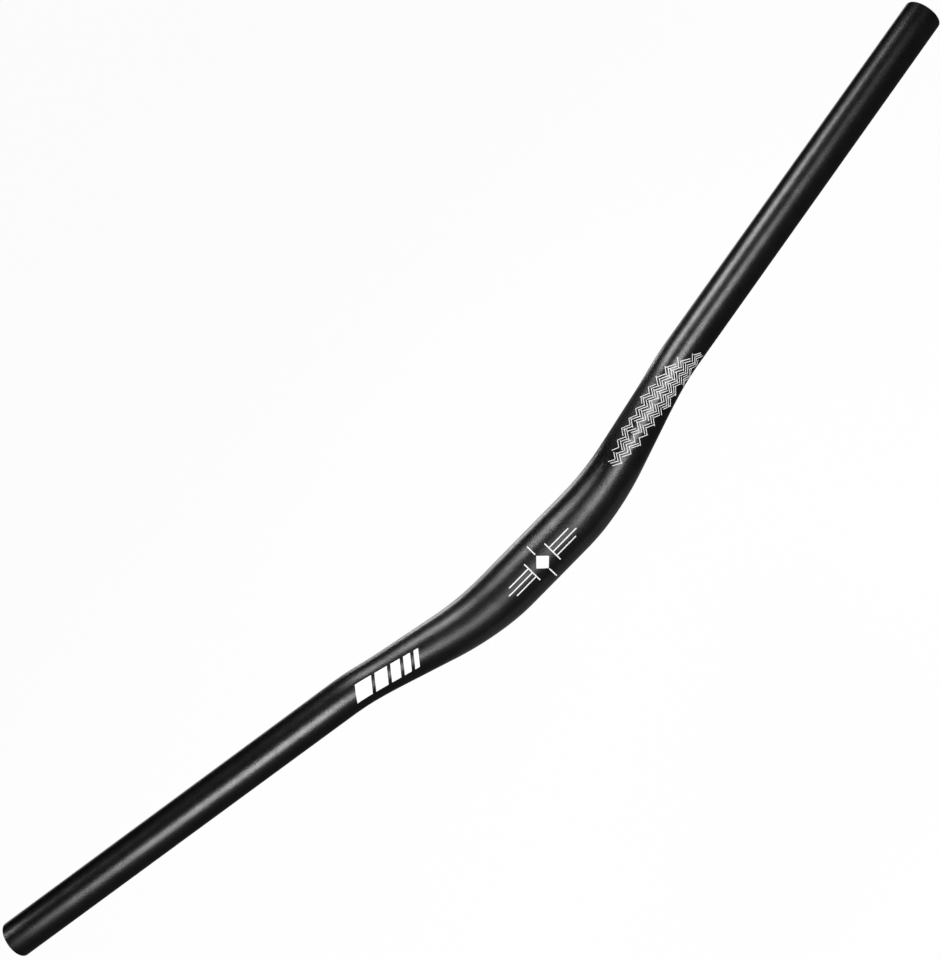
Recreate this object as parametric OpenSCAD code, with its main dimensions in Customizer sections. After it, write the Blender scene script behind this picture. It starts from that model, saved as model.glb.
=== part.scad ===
// Riser handlebar: one butted aluminium tube with open ends.
// The straight middle is held by the stem. On each side the tube thins while it bends up and back,
// climbs, and levels out into a straight grip arm.
// X runs along the clamp, Y points backwards to the rider and Z points up.
// The origin is the middle of the clamp.

/* [Bar] */
// Distance between the centres of the two open ends
bar_width = 744; // [680:2:800]
// Height gained between the clamp and the inner end of each grip arm
bar_rise = 20; // [13:0.5:30]
// Upward angle of the grip arms, seen from the front
upsweep = 5; // [2:0.5:7]
// Backward angle of the grip arms, seen from above
backsweep = 9; // [5:0.5:12]

/* [Bends] */
// Upward angle of the climbing stretch, seen from the front
climb_angle = 13.5; // [10:0.5:15]
// Backward angle of the climbing stretch, seen from above
climb_lean = 7; // [5:0.5:12]
// Radius of the inner bend, at the centre line
inner_bend_r = 180; // [130:5:210]
// Radius of the outer bend, at the centre line
outer_bend_r = 125; // [60:5:160]

/* [Tube] */
// Outer diameter in the clamp
clamp_d = 31.8; // [28:0.1:35]
// Outer diameter along the grips
grip_d = 22.2; // [20:0.1:25.4]
// Length of the straight middle
clamp_len = 46; // [40:1:60]
// Length of full diameter left past each end of the straight middle
taper_lead = 5.5; // [1:0.5:12]
// Length of grip diameter left ahead of each outer bend
taper_gap = 6; // [2:0.5:12]
// Wall in the clamp
clamp_wall = 2.6; // [2:0.1:4]
// Wall along the grips
grip_wall = 1.9; // [1.4:0.1:2.8]
// Rounding of the outer edge at each open end
end_round = 0.9; // [0.3:0.1:1.2]

/* [Hidden] */
// A lofted ring lies this far inside the round rim that it meets, so that the joint is clean
rim_step = 0.05;
// How far the loft reaches into the straight pieces at its two ends
overlap = 1;
// How far the bore runs past each open end
overrun = 2;
// Sides of a lofted ring
ring_sides = 40;
// Rings in the inner bend ahead of the taper, in the rest of that bend, and in the outer bend
lead_rings = 2;
taper_rings = 7;
outer_rings = 4;
$fn = 96;

function unit(v) = v / norm(v);
function heading(up, back) = unit([1, tan(back), tan(up)]);
function level(ahead) = unit(cross([0, 0, 1], ahead));
function turn(from, to) = acos(from * to);
function side(from, to) = unit(to - (from * to) * from);
function arc_length(r, angle) = r * angle * PI / 180;
function bend_step(r, from, to, angle) = r * (sin(angle) * from + (1 - cos(angle)) * side(from, to));
function bend_heading(from, to, angle) = cos(angle) * from + sin(angle) * side(from, to);

// Headings of the three straight stretches of the right half, and the turns between them
middle = [1, 0, 0];
climb = heading(climb_angle, climb_lean);
arm = heading(upsweep, backsweep);
inner_turn = turn(middle, climb);
outer_turn = turn(climb, arm);

// Places where one stretch ends and the next starts
inner_start = [clamp_len / 2, 0, 0];
inner_end = inner_start + bend_step(inner_bend_r, middle, climb, inner_turn);
outer_step = bend_step(outer_bend_r, climb, arm, outer_turn);
climb_len = (bar_rise - inner_end.z - outer_step.z) / climb.z;
outer_start = inner_end + climb_len * climb;
outer_end = outer_start + outer_step;
arm_len = (bar_width / 2 - outer_end.x) / arm.x;

// The taper's end, as a length of tube past the straight middle, and its start as a turn of the bend
inner_arc = arc_length(inner_bend_r, inner_turn);
taper_end = inner_arc + climb_len - taper_gap;
lead_turn = inner_turn * taper_lead / inner_arc;

// Stations from the clamp to the arm, each a place, a heading and a length of tube past the middle
inner_angles = concat(
    [for (i = [0:lead_rings]) lead_turn * i / lead_rings],
    [for (i = [1:taper_rings]) lead_turn + (inner_turn - lead_turn) * i / taper_rings]
);
inner_stations = [for (angle = inner_angles) [
    inner_start + bend_step(inner_bend_r, middle, climb, angle),
    bend_heading(middle, climb, angle),
    arc_length(inner_bend_r, angle),
]];
taper_station = [outer_start - taper_gap * climb, climb, taper_end];
outer_stations = [for (i = [0:outer_rings]) let (angle = outer_turn * i / outer_rings) [
    outer_start + bend_step(outer_bend_r, climb, arm, angle),
    bend_heading(climb, arm, angle),
    inner_arc + climb_len + arc_length(outer_bend_r, angle),
]];
stations = concat(inner_stations, [taper_station], outer_stations);

// Radius of the tube's outside or bore at a length of tube past the straight middle
function radius(clamp_r, grip_r, length) =
    let (share = (length - taper_lead) / (taper_end - taper_lead))
    clamp_r + (grip_r - clamp_r) * min(1, max(0, share));

// Points of a circle round a place, square to a heading
function ring(place, ahead, r) =
    let (across = level(ahead), up = cross(ahead, across))
    [for (i = [0:ring_sides - 1])
        let (angle = 360 * i / ring_sides) place + r * (cos(angle) * across + sin(angle) * up)];

// Solid with flat ends through a list of rings
module loft(rings) {
    last = (len(rings) - 1) * ring_sides;
    skin = [for (low = [0:ring_sides:last - ring_sides], i = [0:ring_sides - 1])
        let (j = (i + 1) % ring_sides, high = low + ring_sides)
        each [[low + i, high + j, low + j], [low + i, high + i, high + j]]];
    start = [for (i = [0:ring_sides - 1]) i];
    end = [for (i = [ring_sides - 1:-1:0]) last + i];
    polyhedron(points = [for (ring = rings) each ring], faces = concat(skin, [start, end]));
}

// The bends and the climb between them, where the tube thins as it turns.
// A narrower plug at each end reaches into the straight piece there.
module bends(clamp_r, grip_r) {
    clamp_plug = ring(inner_start - overlap * middle, middle, clamp_r - overlap);
    grip_plug = ring(outer_end + overlap * arm, arm, grip_r - overlap);
    skin = [for (s = stations) ring(s[0], s[1], radius(clamp_r, grip_r, s[2]) - rim_step)];
    loft(concat([clamp_plug], skin, [grip_plug]));
}

// Puts a child's Z along a heading
module along(ahead, place) {
    across = level(ahead);
    up = cross(ahead, across);
    multmatrix([
        [across.x, up.x, ahead.x, place.x],
        [across.y, up.y, ahead.y, place.y],
        [across.z, up.z, ahead.z, place.z],
    ]) children();
}

module straight_middle(r) {
    along(middle, -inner_start) cylinder(h = clamp_len, r = r);
}

// The grip arm's outside, with the outer edge of its end rounded
module arm_outside(r) {
    along(arm, outer_end) rotate_extrude() {
        square([r, arm_len - end_round]);
        square([r - end_round, arm_len]);
        translate([r - end_round, arm_len - end_round]) circle(end_round);
    }
}

// The grip arm's bore, which runs out of the open end
module arm_bore(r) {
    along(arm, outer_end) cylinder(h = arm_len + overrun, r = r);
}

// The right half as given, and the left half as its mirror image
module both_halves() {
    children();
    mirror([1, 0, 0]) children();
}

module handlebar() {
    clamp_r = clamp_d / 2;
    grip_r = grip_d / 2;
    clamp_bore_r = clamp_r - clamp_wall;
    grip_bore_r = grip_r - grip_wall;
    color("#1b1b1d") difference() {
        union() {
            straight_middle(clamp_r);
            both_halves() {
                bends(clamp_r, grip_r);
                arm_outside(grip_r);
            }
        }
        straight_middle(clamp_bore_r);
        both_halves() {
            bends(clamp_bore_r, grip_bore_r);
            arm_bore(grip_bore_r);
        }
    }
}

handlebar();
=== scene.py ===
"""Looks of the riser handlebar, in metres, in the CAD's frame: X along the clamp, Y back to the
rider, Z up.

The tube is drawn straight, as the real one is, by spinning the outline of its wall, and is then
bent along its centre line. The marks are cut flat and wrapped round the bent tube.
"""
import functools
import math
import random

import bmesh
import bpy
from mathutils import Matrix, Vector


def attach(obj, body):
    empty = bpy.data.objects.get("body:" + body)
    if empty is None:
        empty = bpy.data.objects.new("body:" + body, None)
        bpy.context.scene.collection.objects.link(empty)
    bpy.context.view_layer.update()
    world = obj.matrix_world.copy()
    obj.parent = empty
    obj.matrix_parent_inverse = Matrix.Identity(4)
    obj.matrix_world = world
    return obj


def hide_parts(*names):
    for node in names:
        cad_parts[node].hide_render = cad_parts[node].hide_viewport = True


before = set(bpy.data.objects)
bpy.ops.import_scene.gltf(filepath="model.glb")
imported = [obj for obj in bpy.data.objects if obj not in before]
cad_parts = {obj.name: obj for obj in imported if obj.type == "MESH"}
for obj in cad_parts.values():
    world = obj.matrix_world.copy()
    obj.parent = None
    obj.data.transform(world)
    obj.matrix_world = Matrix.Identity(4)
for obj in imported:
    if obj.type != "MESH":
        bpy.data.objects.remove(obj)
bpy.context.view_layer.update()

MM = 0.001
WHITE = (1, 1, 1, 1)

# Sizes of the bar, as in its CAD source
BAR_WIDTH = 744 * MM
BAR_RISE = 20 * MM
UPSWEEP, BACKSWEEP = 5, 9
CLIMB_ANGLE, CLIMB_LEAN = 13.5, 7
INNER_BEND_R, OUTER_BEND_R = 180 * MM, 125 * MM
CLAMP_R, GRIP_R = 15.9 * MM, 11.1 * MM
CLAMP_WALL, GRIP_WALL = 2.6 * MM, 1.9 * MM
CLAMP_LEN = 46 * MM
TAPER_LEAD, TAPER_GAP = 5.5 * MM, 6 * MM
END_ROUND = 0.9 * MM

# The real taper runs out softly over this length to each side of its two ends
TAPER_BLEND = 10 * MM
# The bore's mouth is broken with a deburring tool
MOUTH_CHAMFER = 0.35 * MM

# How finely the tube is drawn: spacing along the bends and along the arms, steps and sides
OUTSIDE_SPACING = 2 * MM, 20 * MM
BORE_SPACING = 4 * MM, 30 * MM
END_ROUND_STEPS = 6
TUBE_SIDES = 96
# Edges sharper than this show as edges
SHARP_EDGE = math.radians(30)


def heading(up, back):
    return Vector((1, math.tan(math.radians(back)), math.tan(math.radians(up)))).normalized()


def turn_side(start, end):
    """Square to the first heading, on the side to which the bend goes."""
    return (end - start.dot(end) * start).normalized()


def bend_step(radius, start, end, angle):
    return radius * (math.sin(angle) * start + (1 - math.cos(angle)) * turn_side(start, end))


def bend_heading(start, end, angle):
    return math.cos(angle) * start + math.sin(angle) * turn_side(start, end)


# The right half's centre line: where each stretch starts, and how far along the tube that is
MIDDLE = Vector((1, 0, 0))
CLIMB = heading(CLIMB_ANGLE, CLIMB_LEAN)
ARM = heading(UPSWEEP, BACKSWEEP)
INNER_TURN, OUTER_TURN = MIDDLE.angle(CLIMB), CLIMB.angle(ARM)
INNER_START = CLAMP_LEN / 2 * MIDDLE
INNER_END = INNER_START + bend_step(INNER_BEND_R, MIDDLE, CLIMB, INNER_TURN)
OUTER_STEP = bend_step(OUTER_BEND_R, CLIMB, ARM, OUTER_TURN)
CLIMB_LEN = (BAR_RISE - INNER_END.z - OUTER_STEP.z) / CLIMB.z
OUTER_START = INNER_END + CLIMB_LEN * CLIMB
OUTER_END = OUTER_START + OUTER_STEP
ARM_LEN = (BAR_WIDTH / 2 - OUTER_END.x) / ARM.x
AT_INNER = CLAMP_LEN / 2
AT_CLIMB = AT_INNER + INNER_BEND_R * INNER_TURN
AT_OUTER = AT_CLIMB + CLIMB_LEN
AT_ARM = AT_OUTER + OUTER_BEND_R * OUTER_TURN
AT_END = AT_ARM + ARM_LEN
TAPER_START, TAPER_END = AT_INNER + TAPER_LEAD, AT_OUTER - TAPER_GAP


@functools.lru_cache(maxsize=None)
def centre_line(along):
    """Place, and the directions ahead, back and up, at a length of tube from the middle.
    Lengths on the left are negative."""
    far = abs(along)
    if far <= AT_INNER:
        place, ahead = far * MIDDLE, MIDDLE
    elif far <= AT_CLIMB:
        angle = (far - AT_INNER) / INNER_BEND_R
        place = INNER_START + bend_step(INNER_BEND_R, MIDDLE, CLIMB, angle)
        ahead = bend_heading(MIDDLE, CLIMB, angle)
    elif far <= AT_OUTER:
        place, ahead = INNER_END + (far - AT_CLIMB) * CLIMB, CLIMB
    elif far <= AT_ARM:
        angle = (far - AT_OUTER) / OUTER_BEND_R
        place = OUTER_START + bend_step(OUTER_BEND_R, CLIMB, ARM, angle)
        ahead = bend_heading(CLIMB, ARM, angle)
    else:
        place, ahead = OUTER_END + (far - AT_ARM) * ARM, ARM
    if along < 0:
        place = Vector((-place.x, place.y, place.z))
        ahead = Vector((ahead.x, -ahead.y, -ahead.z))
    back = Vector((0, 0, 1)).cross(ahead).normalized()
    return place, ahead, back, ahead.cross(back)


def soft_ramp(length):
    """The length past a corner of the taper, with the corner rounded off."""
    if abs(length) > TAPER_BLEND:
        return max(0, length)
    return (length + TAPER_BLEND) ** 2 / (4 * TAPER_BLEND)


def tapered(clamp_size, grip_size, along):
    """A size that goes from its value in the clamp to its value in the grips along the taper."""
    gone = soft_ramp(abs(along) - TAPER_START) - soft_ramp(abs(along) - TAPER_END)
    return clamp_size + (grip_size - clamp_size) * gone / (TAPER_END - TAPER_START)


def outer_radius(along):
    return tapered(CLAMP_R, GRIP_R, along)


def bore_radius(along):
    return tapered(CLAMP_R - CLAMP_WALL, GRIP_R - GRIP_WALL, along)


def on_tube(along, angle, radius):
    """A point round the centre line: angle 0 is at the tube's back and a quarter turn is on top.
    The length is rounded, so that one place along the tube is worked out only once."""
    place, _, back, up = centre_line(round(along, 7))
    return place + radius * (math.cos(angle) * back + math.sin(angle) * up)


def bend_and_wrap(bm):
    """Moves a straight shape round the X axis onto the bent centre line."""
    for vert in bm.verts:
        x, y, z = vert.co
        vert.co = on_tube(x, math.atan2(z, y), math.hypot(y, z))


def link_piece(name, bm, material):
    """Makes the bmesh an object of the scene, in one material."""
    mesh = bpy.data.meshes.new(name)
    bm.to_mesh(mesh)
    bm.free()
    mesh.materials.append(material)
    piece = bpy.data.objects.new(name, mesh)
    bpy.context.scene.collection.objects.link(piece)
    return piece


def bar_piece(name, bm, material):
    """A piece of the bar, with its faces outwards and soft shading between its sharp edges."""
    bmesh.ops.recalc_face_normals(bm, faces=bm.faces[:])
    for face in bm.faces:
        face.smooth = True
    for edge in bm.edges:
        edge.smooth = edge.calc_face_angle(0) < SHARP_EDGE
    return link_piece(name, bm, material)


def linear(code):
    """An sRGB hex colour as the linear colour that the shader works in."""
    parts = [int(code[i:i + 2], 16) / 255 for i in (1, 3, 5)]
    return [*(p / 12.92 if p <= 0.04045 else ((p + 0.055) / 1.055) ** 2.4 for p in parts), 1]


def add(tree, kind, settings=None, **inputs):
    """Adds a node, with its settings, and with values or links for its inputs.
    An input goes by its name or, as _0 or _1, by its number."""
    node = tree.nodes.new(kind)
    for key, value in (settings or {}).items():
        setattr(node, key, value)
    for key, value in inputs.items():
        socket = node.inputs[int(key[1:]) if key[1:].isdigit() else key.replace("_", " ")]
        if isinstance(value, bpy.types.NodeSocket):
            tree.links.new(value, socket)
        else:
            socket.default_value = value
    return node


def new_material(name):
    material = bpy.data.materials.new(name)
    material.use_nodes = True
    material.node_tree.nodes.clear()
    return material, material.node_tree


def black_anodised_aluminium():
    """Aluminium tube, bead-blasted and then anodised black: a deep black with a silky, slightly
    grainy gloss. The dyed oxide film sends back 7 or 8% of the light, which is the metal's base
    colour here."""
    # Bead blasting leaves dimples of about 0.1 mm, drawn here at 0.9 mm so that they show
    dimple_size, dimple_depth = 0.9 * MM, 0.07 * MM
    # The film takes the dye a little unevenly, over 10 mm or so
    dye_patch = 10 * MM
    material, tree = new_material("black_anodised_aluminium")
    place = add(tree, "ShaderNodeTexCoord").outputs["Object"]
    dimples = add(tree, "ShaderNodeTexNoise", Vector=place, Scale=1 / dimple_size,
                  Detail=2.0, Roughness=0.6)
    cloud = add(tree, "ShaderNodeTexNoise", Vector=place, Scale=1 / dye_patch,
                Detail=3.0, Roughness=0.5)
    dye = add(tree, "ShaderNodeMapRange", Value=cloud.outputs["Fac"], From_Min=0.3, From_Max=0.7)
    # Numbers 6 and 7 are a Mix node's two colours, and output 2 is their mixture
    colour = add(tree, "ShaderNodeMix", {"data_type": "RGBA"}, Factor=dye.outputs["Result"],
                 _6=linear("#484848"), _7=linear("#535353"))
    rough = add(tree, "ShaderNodeMapRange", Value=dimples.outputs["Fac"],
                From_Min=0.3, From_Max=0.7, To_Min=0.27, To_Max=0.35)
    bump = add(tree, "ShaderNodeBump", Strength=1.0, Distance=dimple_depth,
               Height=dimples.outputs["Fac"])
    shader = add(tree, "ShaderNodeBsdfPrincipled", Base_Color=colour.outputs[2], Metallic=1.0,
                 Roughness=rough.outputs["Result"], Normal=bump.outputs["Normal"])
    add(tree, "ShaderNodeOutputMaterial", Surface=shader.outputs[0])
    return material


def laser_etching():
    """Marks that a laser bleached into the black film: a flat white with no gloss and a dry, fine
    grain."""
    # The beam's passes leave a grain of about 0.05 mm, drawn here at 0.4 mm so that it shows
    grain_size, grain_depth = 0.4 * MM, 0.02 * MM
    material, tree = new_material("laser_etching")
    place = add(tree, "ShaderNodeTexCoord").outputs["Object"]
    grain = add(tree, "ShaderNodeTexNoise", Vector=place, Scale=1 / grain_size,
                Detail=2.0, Roughness=0.6)
    tone = add(tree, "ShaderNodeMapRange", Value=grain.outputs["Fac"], From_Min=0.3, From_Max=0.7)
    colour = add(tree, "ShaderNodeMix", {"data_type": "RGBA"}, Factor=tone.outputs["Result"],
                 _6=linear("#d8d8d8"), _7=linear("#f2f2f2"))
    bump = add(tree, "ShaderNodeBump", Strength=0.2, Distance=grain_depth,
               Height=grain.outputs["Fac"])
    shader = add(tree, "ShaderNodeBsdfPrincipled", Base_Color=colour.outputs[2], Roughness=0.75,
                 IOR=1.5, Normal=bump.outputs["Normal"])
    add(tree, "ShaderNodeOutputMaterial", Surface=shader.outputs[0])
    return material


def spaced(reach, along_bends, along_arm):
    """Lengths from the middle to a reach, at one spacing from the clamp to just past the outer
    bend and at another along the arm."""
    lengths = [0, AT_INNER]
    for end, spacing in ((AT_ARM + along_bends, along_bends), (reach, along_arm)):
        start = lengths[-1]
        count = round((end - start) / spacing)
        lengths += [start + (end - start) * i / count for i in range(1, count + 1)]
    return lengths


def wall_outline():
    """Points of the wall's closed outline: from the middle along the outside to the right end,
    back through the bore, and then the same on the left, the other way round."""
    round_start = AT_END - END_ROUND
    right = [(along, outer_radius(along)) for along in spaced(round_start, *OUTSIDE_SPACING)]
    for i in range(1, END_ROUND_STEPS + 1):
        angle = math.pi / 2 * i / END_ROUND_STEPS
        right.append((round_start + END_ROUND * math.sin(angle),
                      GRIP_R - END_ROUND * (1 - math.cos(angle))))
    right.append((AT_END, GRIP_R - GRIP_WALL + MOUTH_CHAMFER))
    bore = [(along, bore_radius(along)) for along in spaced(AT_END - MOUTH_CHAMFER, *BORE_SPACING)]
    right.extend(reversed(bore))
    left = [(-along, radius) for along, radius in reversed(right)]
    return right + left[1:-1]


def handlebar_tube(material):
    bm = bmesh.new()
    (along, radius), *rest = wall_outline()
    first = last = bm.verts.new((along, radius, 0))
    for along, radius in rest:
        last = bmesh.ops.extrude_vert_indiv(bm, verts=[last])["verts"][0]
        last.co = (along, radius, 0)
    bm.edges.new((last, first))
    bmesh.ops.spin(bm, geom=bm.verts[:] + bm.edges[:], cent=(0, 0, 0), axis=(1, 0, 0),
                   angle=2 * math.pi, steps=TUBE_SIDES, use_merge=True)
    bend_and_wrap(bm)
    tube = bar_piece("handlebar_tube", bm, material)
    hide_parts("handlebar")
    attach(tube, "root")


# Marks. Each is cut flat, with its length along the tube and its width round it, and then wrapped
# on. They sit between the top of the tube, at 90 degrees, and its front, at 180.
CLAMP_MARKS_ANGLE, LEFT_BARS_ANGLE, RIGHT_WEAVE_ANGLE = map(math.radians, (158.5, 157, 150))
# How deep a mark's skin reaches into the tube and how far it stands out
MARK_SINK, MARK_PROUD = 0.05 * MM, 0.03 * MM
# The flat marks are cut into cells of this size, so that they follow the tube
MARK_CELL = 1 * MM


def flat_bar(bm, middle, length, width, turn=0.0, slant=0.0):
    """A flat strip round a middle point, turned by an angle, with its ends cut at a slant."""
    shape = Matrix.Translation((*middle, 0)) @ Matrix.Rotation(turn, 4, "Z")
    lean = Matrix(((1, slant, 0, 0), (0, 1, 0, 0), (0, 0, 1, 0), (0, 0, 0, 1)))
    size = Matrix.Diagonal((length, width, 1, 1))
    cells = [max(1, math.ceil(x / MARK_CELL)) for x in (length, width)]
    bmesh.ops.create_grid(bm, x_segments=cells[0], y_segments=cells[1], size=0.5,
                          matrix=shape @ lean @ size)


def wrap_marks(name, bm, angle, material):
    """Gives flat marks a skin's thickness and lays them on the tube, their middle at an angle
    round it and their upper side upwards."""
    flat = bm.faces[:]
    made = bmesh.ops.extrude_face_region(bm, geom=flat)
    for item in made["geom"]:
        if isinstance(item, bmesh.types.BMVert):
            item.co.z = MARK_PROUD
    for face in flat:
        for vert in face.verts:
            vert.co.z = -MARK_SINK
    for vert in bm.verts:
        along, round_it, lift = vert.co
        radius = outer_radius(along)
        vert.co = on_tube(along, angle - round_it / radius, radius + lift)
    piece = bar_piece(name, bm, material)
    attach(piece, "root")


def clamp_marks(material):
    """Lines that show where the stem sits: a tick on each side with three rules out of it, and a
    diamond between two short ticks in the middle. They sit a little left of the bar's middle."""
    bm = bmesh.new()
    middle, line = -1.5 * MM, 0.65 * MM
    side_tick, diamond_side = 13 * MM, 7 * MM
    # In mm: how far out the side ticks are and the rules start, and the height and length of each
    # rule and of each short tick
    tick_at, rules_start = 8, 8.4
    rules = ((-3.1, 14.8), (0, 18), (3.1, 14.8))
    short_ticks = ((9.3, 6.8), (-9.7, 8.5))
    for hand in (-1, 1):
        flat_bar(bm, (middle + hand * tick_at * MM, 0), line, side_tick)
        for height, length in rules:
            rule_middle = middle + hand * (rules_start + length / 2) * MM
            flat_bar(bm, (rule_middle, height * MM), length * MM, line)
    for height, length in short_ticks:
        flat_bar(bm, (middle, height * MM), line, length * MM)
    flat_bar(bm, (middle, 0), diamond_side, diamond_side, turn=math.radians(45))
    wrap_marks("clamp_marks", bm, CLAMP_MARKS_ANGLE, material)


def left_bars(material):
    """A row of slanted bars on the left bend, thinner and thinner towards the clamp."""
    bm = bmesh.new()
    at, height, slant = -128.5 * MM, 10 * MM, 0.45
    # In mm
    widths, gap = (10, 8, 6, 4.5, 3), 2.2
    for width in widths:
        flat_bar(bm, (at + width / 2 * MM, 0), width * MM, height, slant=slant)
        at += (width + gap) * MM
    wrap_marks("left_bars", bm, LEFT_BARS_ANGLE, material)


def right_weave(material):
    """A herringbone band that winds round the right bend from the top towards the front."""
    bm = bmesh.new()
    start, length, width = 65 * MM, 78 * MM, 13.5 * MM
    column, pitch, stroke, thick = 3.4 * MM, 1.9 * MM, 3.6 * MM, 0.4 * MM
    rows, lean = 5, math.radians(42)
    # In mm: how far up the band starts, and how far it drifts down, more and more quickly
    lift, drop, quickening = 3, 12, 1.8
    # As shares of the length or the width: where the band swells, by how much and how far round
    # that place, and how wide it starts and ends and how quickly it widens from there
    swell_at, swell_by, swell_reach = 0.72, 0.4, 0.3
    start_width, start_growth, end_width, end_growth = 0.35, 2.6, 0.3, 4.5
    # Strokes shift up and down by up to 0.2 mm, differ in length and are missing here and there
    shift, uneven, missing = 0.2, 0.25, 0.08
    chance = random.Random(4)
    for i in range(round(length / column)):
        along = (i + 0.5) * column
        share = along / length
        drift = (lift - drop * share ** quickening) * MM
        swell = 1 + swell_by * max(0, 1 - abs(share - swell_at) / swell_reach)
        half = width / 2 * min(swell, start_width + start_growth * share,
                               end_width + end_growth * (1 - share))
        for j in range(-rows, rows + 1):
            off = j * pitch + chance.uniform(-shift, shift) * MM
            if abs(off) > half or chance.random() < missing:
                continue
            cut = stroke * chance.uniform(1 - uneven, 1 + uneven)
            flat_bar(bm, (start + along, drift + off), cut / math.cos(lean), thick,
                     turn=lean if i % 2 else -lean)
    wrap_marks("right_weave", bm, RIGHT_WEAVE_ANGLE, material)


# Studio
CAMERA_YAW, CAMERA_PITCH, CAMERA_ROLL = map(math.radians, (1.164, 29.966, -45.549))
CAMERA_DISTANCE = 900 * MM
CAMERA_TARGET = Vector((3.141, 0, 66.922)) * MM
# Scale of the picture at the target, and the long side of the picture, and of the sensor in mm
PIXELS_PER_METRE = 1850.1
LONG_SIDE_PIXELS = 960
SENSOR = 36
# How bright the room is for what it lights
ROOM_LIGHT = 0.3
# How much of the paper the camera sees as plain white. The rest shows the shadow
PAPER_WHITE = 0.96
FLOOR_HEIGHT, FLOOR_HALF_SIDE = -0.3, 12.0
CLOTH_STEPS = 32


def turned(first, second, angle):
    """Two directions, square to each other, both turned by an angle, the first towards the
    second."""
    cosine, sine = math.cos(angle), math.sin(angle)
    return cosine * first + sine * second, cosine * second - sine * first


def set_camera():
    """In front of the bar and above it, and rolled so that the bar climbs from lower left to upper
    right."""
    across = Vector((1, 0, 0))
    ahead = Vector((0, math.cos(CAMERA_PITCH), -math.sin(CAMERA_PITCH)))
    up = across.cross(ahead)
    across, ahead = turned(across, ahead, CAMERA_YAW)
    across, up = turned(across, up, CAMERA_ROLL)
    data = bpy.data.cameras.new("camera")
    data.sensor_width = SENSOR
    data.lens = SENSOR * PIXELS_PER_METRE * CAMERA_DISTANCE / LONG_SIDE_PIXELS
    data.clip_start, data.clip_end = 0.05, 50
    camera = bpy.data.objects.new("camera", data)
    place = Matrix.Translation(CAMERA_TARGET - CAMERA_DISTANCE * ahead)
    camera.matrix_world = place @ Matrix((across, up, -ahead)).transposed().to_4x4()
    bpy.context.scene.collection.objects.link(camera)
    bpy.context.scene.camera = camera


def softbox(name, place, aim, width, height, radiance, lie=(1, 0, 0)):
    """A rectangular lamp at a place, facing another, whose width lies along a direction.
    A radiance of 1 is a white wall in plain light."""
    data = bpy.data.lights.new(name, "AREA")
    data.shape = "RECTANGLE"
    data.size, data.size_y = width, height
    data.energy = radiance * math.pi * width * height
    lamp = bpy.data.objects.new(name, data)
    back = (Vector(place) - Vector(aim)).normalized()
    across = (Vector(lie) - back.dot(Vector(lie)) * back).normalized()
    turn = Matrix((across, back.cross(across), back)).transposed()
    lamp.matrix_world = Matrix.Translation(place) @ turn.to_4x4()
    lamp.visible_camera = False
    bpy.context.scene.collection.objects.link(lamp)


def seen_as_background(tree):
    """1 for what the camera sees directly, by a reflection or through glass, and 0 for what lights
    the object."""
    path = add(tree, "ShaderNodeLightPath")
    both = add(tree, "ShaderNodeMath", {"operation": "MAXIMUM"},
               _0=path.outputs["Is Camera Ray"], _1=path.outputs["Is Glossy Ray"])
    every = add(tree, "ShaderNodeMath", {"operation": "MAXIMUM"},
                _0=both.outputs[0], _1=path.outputs["Is Transmission Ray"])
    return every.outputs[0]


def set_world():
    world = bpy.data.worlds.new("studio")
    bpy.context.scene.world = world
    world.use_nodes = True
    tree = world.node_tree
    tree.nodes.clear()
    room = add(tree, "ShaderNodeBackground", Color=WHITE, Strength=ROOM_LIGHT)
    white = add(tree, "ShaderNodeBackground", Color=WHITE, Strength=1.0)
    mix = add(tree, "ShaderNodeMixShader",
              _0=seen_as_background(tree), _1=room.outputs[0], _2=white.outputs[0])
    add(tree, "ShaderNodeOutputWorld", Surface=mix.outputs[0])


def stage_piece(name, bm, material):
    piece = link_piece(name, bm, material)
    return piece


def white_paper():
    """Matt white studio paper, which keeps the bar's shadow while the camera sees it as white."""
    material, tree = new_material("white_paper")
    paper = add(tree, "ShaderNodeBsdfDiffuse", Color=linear("#f2f2f2"))
    white = add(tree, "ShaderNodeEmission", Color=WHITE, Strength=1.0)
    share = add(tree, "ShaderNodeMath", {"operation": "MULTIPLY"},
                _0=seen_as_background(tree), _1=PAPER_WHITE)
    mix = add(tree, "ShaderNodeMixShader",
              _0=share.outputs[0], _1=paper.outputs[0], _2=white.outputs[0])
    add(tree, "ShaderNodeOutputMaterial", Surface=mix.outputs[0])
    return material


def set_floor():
    bm = bmesh.new()
    bmesh.ops.create_grid(bm, x_segments=1, y_segments=1, size=FLOOR_HALF_SIDE,
                          matrix=Matrix.Translation((0, 0, FLOOR_HEIGHT)))
    stage_piece("floor", bm, white_paper())


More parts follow.
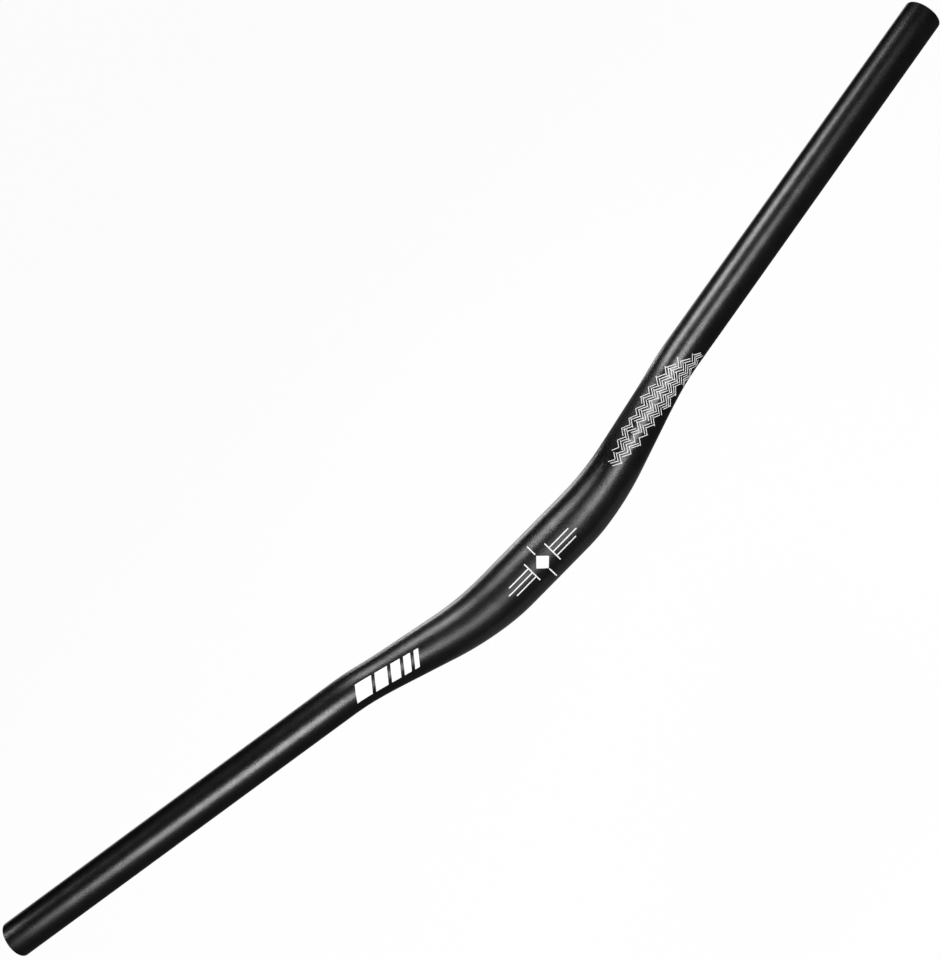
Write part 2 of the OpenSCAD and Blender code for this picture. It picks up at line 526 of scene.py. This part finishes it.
def cloth(name, code, across, edge, turn=0.0, reach=0.0, stops_lamps=False):
    """Matt cloth that only the gloss shows: an edge along X, at a place in Y and Z, that is swept
    round the X axis by an angle in degrees or pulled backwards."""
    material, tree = new_material(name)
    matt = add(tree, "ShaderNodeBsdfDiffuse", Color=linear(code))
    add(tree, "ShaderNodeOutputMaterial", Surface=matt.outputs[0])
    bm = bmesh.new()
    ends = [bm.verts.new((x, *edge)) for x in across]
    hem = bm.edges.new(ends)
    if turn:
        bmesh.ops.spin(bm, geom=[*ends, hem], cent=(0, 0, 0), axis=(1, 0, 0),
                       angle=math.radians(turn), steps=CLOTH_STEPS)
    else:
        made = bmesh.ops.extrude_edge_only(bm, edges=[hem])["geom"]
        far_ends = [item for item in made if isinstance(item, bmesh.types.BMVert)]
        bmesh.ops.translate(bm, verts=far_ends, vec=(0, reach, 0))
    piece = stage_piece(name, bm, material)
    piece.visible_camera = piece.visible_diffuse = piece.visible_transmission = False
    piece.visible_shadow = stops_lamps


etching = laser_etching()
handlebar_tube(black_anodised_aluminium())
clamp_marks(etching)
left_bars(etching)
right_weave(etching)

set_camera()
set_world()
set_floor()

# A dark room over and under the bar, with grey where the middle's underside and the right bend
# reflect it
cloth("dark_arch", "#0c0c0c", (-4, 4), (-1.6, -0.1), turn=-180)
cloth("dark_table", "#484848", (-4, 4), (-2.5, -0.2), reach=2.9)
cloth("grey_table", "#848484", (-0.14, 0.13), (-0.14, -0.19), reach=0.30)
cloth("grey_card", "#808080", (0.047, 0.106), (-0.05, 0.16), turn=-115, stops_lamps=True)

# The front lamps draw the long streak on the bar's front
softbox("left_front", (-0.66, -1.0, 0.40), (-0.2, 0, 0), 0.35, 0.60, 10)
softbox("middle_front", (-0.14, -1.0, 0.24), (0, 0, 0), 0.38, 0.50, 1.5)
softbox("right_low", (0.225, -1.0, 0.36), (0.1, 0, 0), 0.12, 0.34, 8)
softbox("right_front", (0.445, -1.0, 0.69), (0.15, 0, 0), 0.32, 0.55, 8.7)
# The overhead lamps draw the second streak, on the bends, the right arm and the far left end
softbox("overhead_left", (-1.0, 0.24, 1.0), (-0.36, 0, 0), 0.14, 0.30, 12.5)
softbox("overhead_middle", (0.08, 0.01, 1.0), (0, 0, 0), 0.24, 0.42, 8.3)
softbox("overhead_right", (0.35, 0.21, 1.0), (0.15, 0, 0), 0.37, 0.38, 8, lie=(1, 0.75, 0))
# The rear lamp draws the rim along the middle's upper edge
softbox("rear", (0.01, 1.0, 0.22), (0, 0, 0), 0.22, 0.30, 5.5)

bpy.context.scene.view_settings.view_transform = "Standard"
